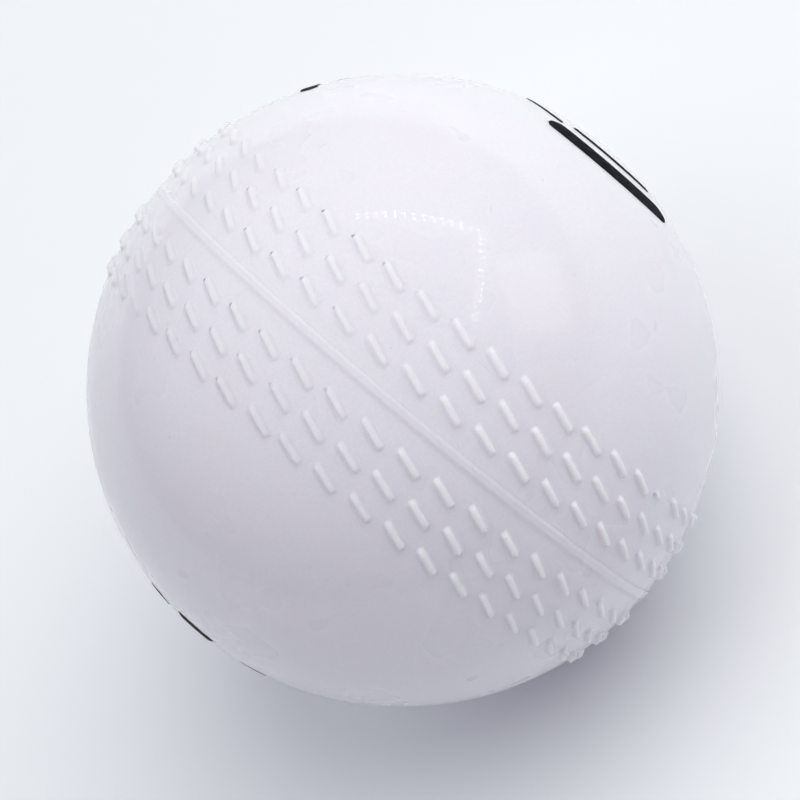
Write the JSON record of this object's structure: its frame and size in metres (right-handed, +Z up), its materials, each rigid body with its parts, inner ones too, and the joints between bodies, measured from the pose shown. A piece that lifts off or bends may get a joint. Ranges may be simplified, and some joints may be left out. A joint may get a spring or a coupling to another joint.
{
  "type": "cricket ball",
  "caption": "Cricket ball with a moulded white vinyl cover, raised seam rib and rows of moulded stitches, over a layered cork and yarn core.",
  "frame": {"origin": "centre of the ball", "axes": "+X is the axis of the seam, square to the seam plane YZ; +Z is up"},
  "size_m": [0.072, 0.073, 0.073],
  "materials": {
    "white_vinyl": "glossy plasticised vinyl, slightly translucent, faint lavender tint",
    "black_ink": "thin satin pad-printed ink",
    "cork_composition": "moulded cork and rubber granules",
    "sheet_cork": "pressed cork, matt",
    "yarn": "tightly wound undyed worsted yarn"
  },
  "bodies": {
    "root": {"centre_nut": "cork_composition", "inner_winding": "yarn", "inner_cork_cup_upper": "sheet_cork", "inner_cork_cup_lower": "sheet_cork", "middle_winding": "yarn", "outer_cork_cup_front": "sheet_cork", "outer_cork_cup_back": "sheet_cork", "outer_winding": "yarn", "cover_half_left": "white_vinyl", "cover_half_right": "white_vinyl", "printed_arcs_right": "black_ink", "printed_arcs_left": "black_ink", "printed_bars": "black_ink"}
  },
  "joints": []
}
